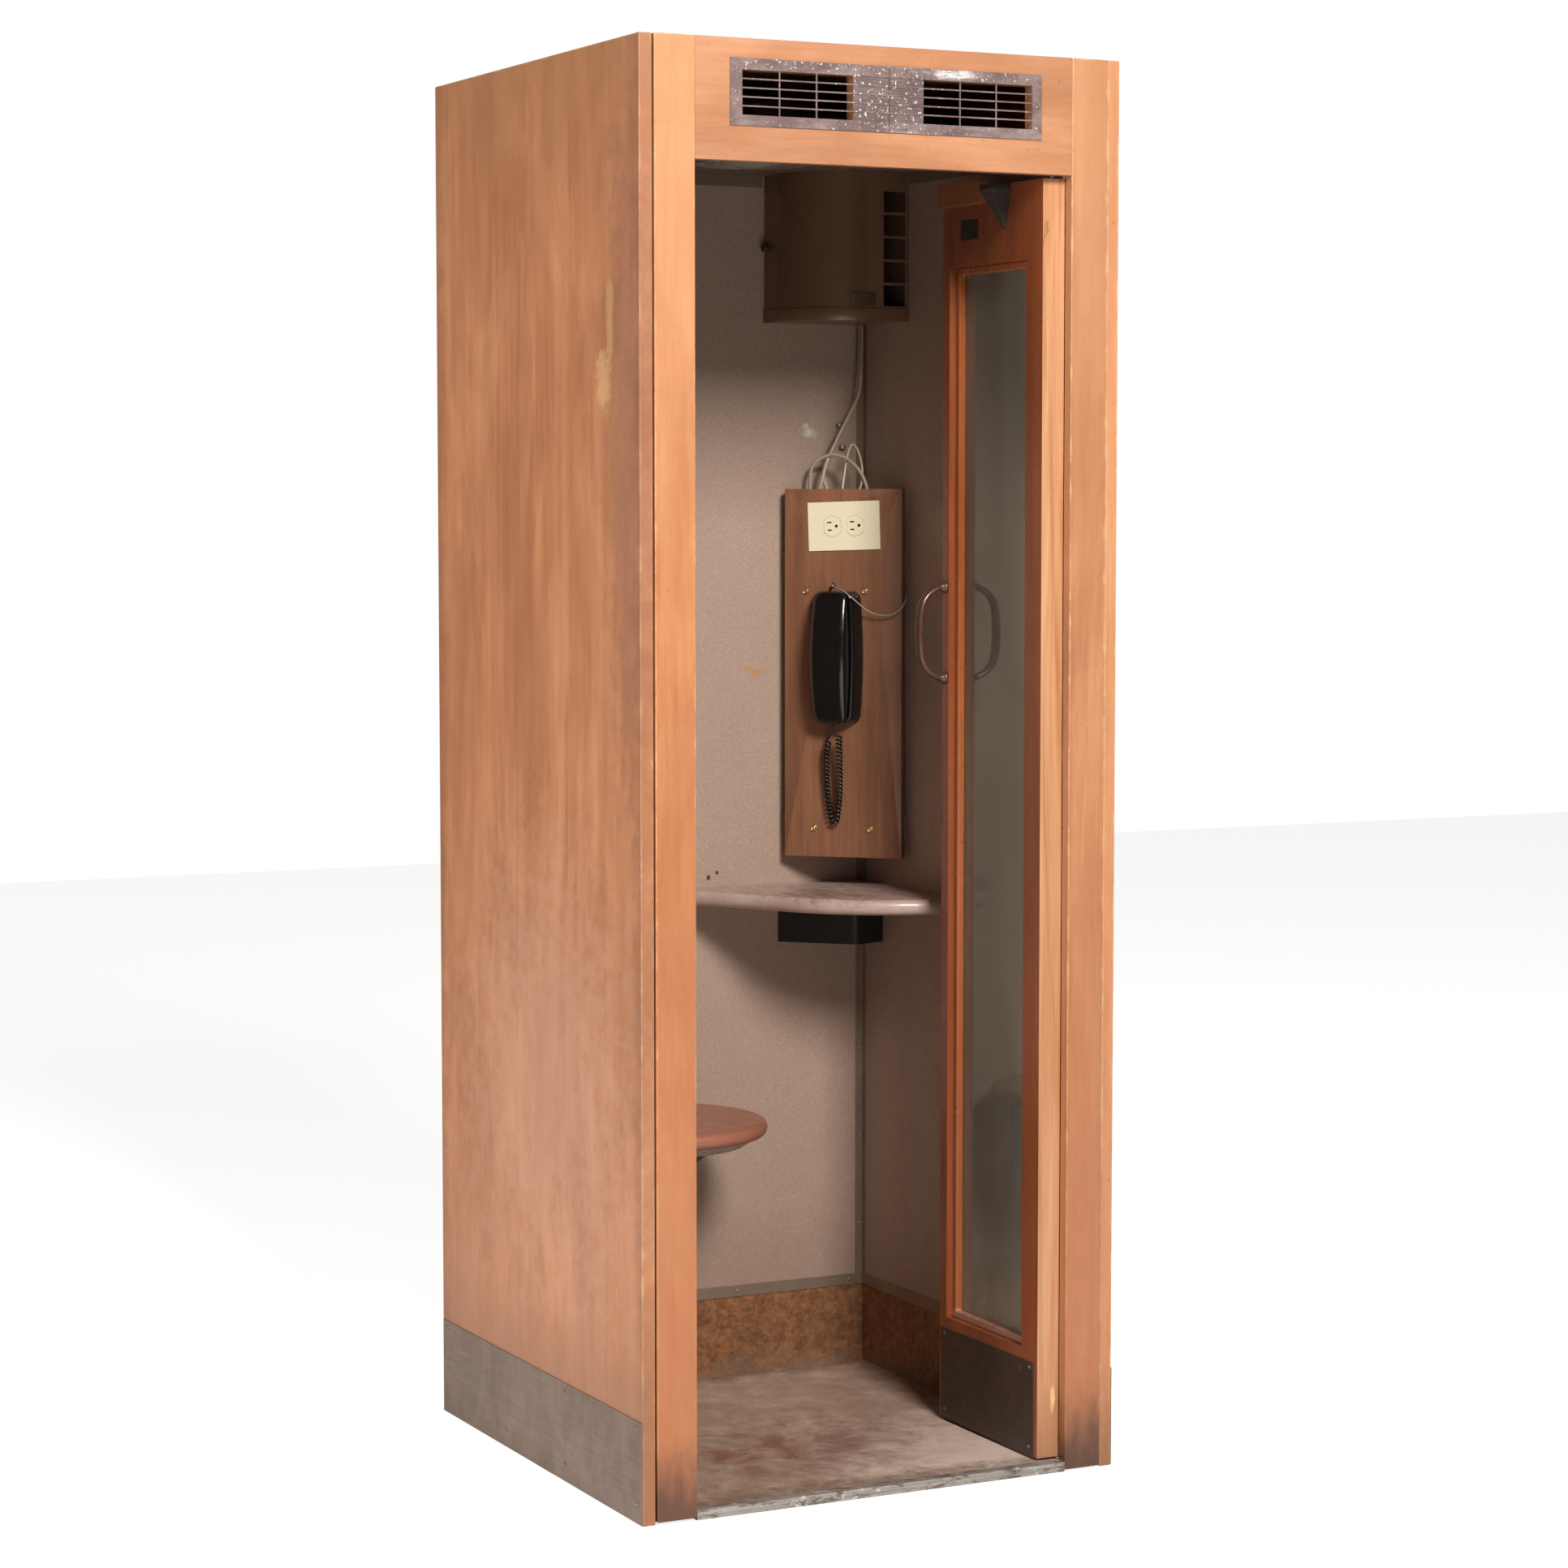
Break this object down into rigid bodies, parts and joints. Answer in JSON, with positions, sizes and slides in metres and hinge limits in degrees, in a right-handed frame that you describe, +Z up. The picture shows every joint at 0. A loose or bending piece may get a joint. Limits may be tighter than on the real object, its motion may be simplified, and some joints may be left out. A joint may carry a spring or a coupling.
{
  "type": "telephone booth",
  "caption": "Indoor wooden telephone booth with a bi-fold glazed door folded open, wall phone on a corner board, shelf, round seat, fan and ceiling light.",
  "frame": {"origin": "middle of the base, at floor level", "axes": "+Z up, the doorway faces -Y, +X to the right when facing the doorway"},
  "size_m": [0.7852, 0.7826, 2.108],
  "materials": {
    "panel_wood": "satin orange-brown varnish",
    "door_wood": "dark red-brown varnish",
    "rough_wood": "raw",
    "dark_board": "dark stain",
    "floor_sheet": "worn",
    "bare_aluminium": "scuffed",
    "wall_board": "semi-gloss brown-grey paint",
    "ceiling_board": "semi-gloss paint",
    "trim_metal": "brown lacquer",
    "fibreboard": "brown fibreboard",
    "kick_metal": "dark brown paint",
    "screw_steel": "dull",
    "register_paint": "chipped brown paint",
    "track_steel": "dull",
    "lamp_metal": "satin",
    "lamp_white": "frosted",
    "clear_glass": "clear",
    "shelf_laminate": "scuffed laminate",
    "black_wood": "black paint",
    "seat_wood": "terracotta laminate",
    "seat_metal": "grey paint",
    "fan_metal": "brown paint",
    "motor_steel": "dull",
    "rotor_metal": "dull",
    "black_plastic": "moulded",
    "walnut": "walnut laminate",
    "brass_plate": "tarnished",
    "box_steel": "galvanised",
    "ivory_plastic": "gloss",
    "phone_plastic": "polished",
    "key_plastic": "moulded",
    "cord_black": "satin",
    "cord_grey": "satin",
    "cable_tan": "satin",
    "handle_metal": "brown lacquer",
    "nylon": "moulded"
  },
  "bodies": {
    "booth": {"base_board": "dark_board", "floor_covering": "floor_sheet", "threshold_strip": "bare_aluminium", "left_side_panel": "panel_wood", "right_side_panel": "panel_wood", "back_panel": "panel_wood", "roof_panel": "panel_wood", "left_stile": "panel_wood", "right_stile": "panel_wood", "header": "panel_wood", "left_jamb_strip": "door_wood", "wall_battens": "rough_wood", "wall_linings": "wall_board", "ceiling_panel": "ceiling_board", "metal_trims": "trim_metal", "baseboards": "fibreboard", "outer_kick_plates": "kick_metal", "round_head_screws": "screw_steel", "vent_registers": "register_paint", "door_track": "track_steel", "pivot_brackets": "track_steel", "light_housing": "lamp_metal", "light_bulb": "lamp_white", "light_lens": "clear_glass", "shelf": "shelf_laminate", "shelf_support": "black_wood", "seat_top": "seat_wood", "seat_support": "seat_metal", "fan_housing": "fan_metal", "fan_motor": "motor_steel", "phone_board": "walnut", "board_screws": "brass_plate", "outlet_box": "box_steel", "outlet_receptacle": "ivory_plastic", "outlet_plate": "ivory_plastic", "phone_base": "phone_plastic", "handset_cord": "cord_black", "line_cord": "cord_grey", "power_cables": "cable_tan"},
    "fan_rotor": {"fan_impeller": "rotor_metal"},
    "fan_knob": {"fan_knob": "black_plastic"},
    "hook_switch": {"hook_switch": "black_plastic"},
    "handset": {"handset": "phone_plastic"},
    "keypad": {"keypad_keys": "key_plastic"},
    "rear_leaf": {"rear_leaf_frame": "door_wood", "rear_leaf_glass": "clear_glass", "rear_leaf_beads": "door_wood", "rear_leaf_kick_plate": "kick_metal", "rear_leaf_pivots": "track_steel", "rear_hinge_halves": "brass_plate"},
    "lead_leaf": {"lead_leaf_frame": "door_wood", "lead_leaf_glass": "clear_glass", "lead_leaf_beads": "door_wood", "lead_leaf_kick_plate": "kick_metal", "lead_hinge_halves": "brass_plate", "door_handle": "handle_metal", "top_cleat": "door_wood", "top_rail_fittings": "trim_metal", "guide_pin": "track_steel"},
    "guide_roller": {"guide_roller": "nylon"}
  },
  "joints": [
    {"name": "door_fold", "type": "hinge", "parent": "booth", "child": "rear_leaf", "pos_m": [0.309, -0.365, 0], "axis": [0, 0, 1], "range_deg": [0, 90]},
    {"name": "leaf_fold", "type": "hinge", "parent": "rear_leaf", "child": "lead_leaf", "pos_m": [0.30825, -0.063, 0], "axis": [0, 0, 1], "range_deg": [-180, 0]},
    {"name": "roller_spin", "type": "hinge", "parent": "lead_leaf", "child": "guide_roller", "pos_m": [0.2955, -0.353, 1.952], "axis": [0, 0, 1], "continuous": true},
    {"name": "fan_spin", "type": "hinge", "parent": "booth", "child": "fan_rotor", "pos_m": [0.2625, 0.2695, 1.875], "axis": [0, 0, 1], "continuous": true},
    {"name": "knob_turn", "type": "hinge", "parent": "booth", "child": "fan_knob", "pos_m": [0.1645, 0.3335, 1.871], "axis": [-1, 0, 0], "range_deg": [0, 270]},
    {"name": "handset_lift", "type": "slide", "parent": "booth", "child": "handset", "axis": [-0.7071, -0.7071, 0], "range_m": [0, 0.06]},
    {"name": "hook_travel", "type": "slide", "parent": "booth", "child": "hook_switch", "axis": [-0.7071, -0.7071, 0], "range_m": [0, 0.005]},
    {"name": "key_press", "type": "slide", "parent": "handset", "child": "keypad", "axis": [-0.7071, -0.7071, 0], "range_m": [0, 0.0015], "stiffness_N_per_m": 300}
  ],
  "couplings": [
    {"joint": "leaf_fold", "follows": "door_fold", "ratio": -2},
    {"joint": "hook_travel", "follows": "handset_lift", "ratio": 0.083333}
  ]
}
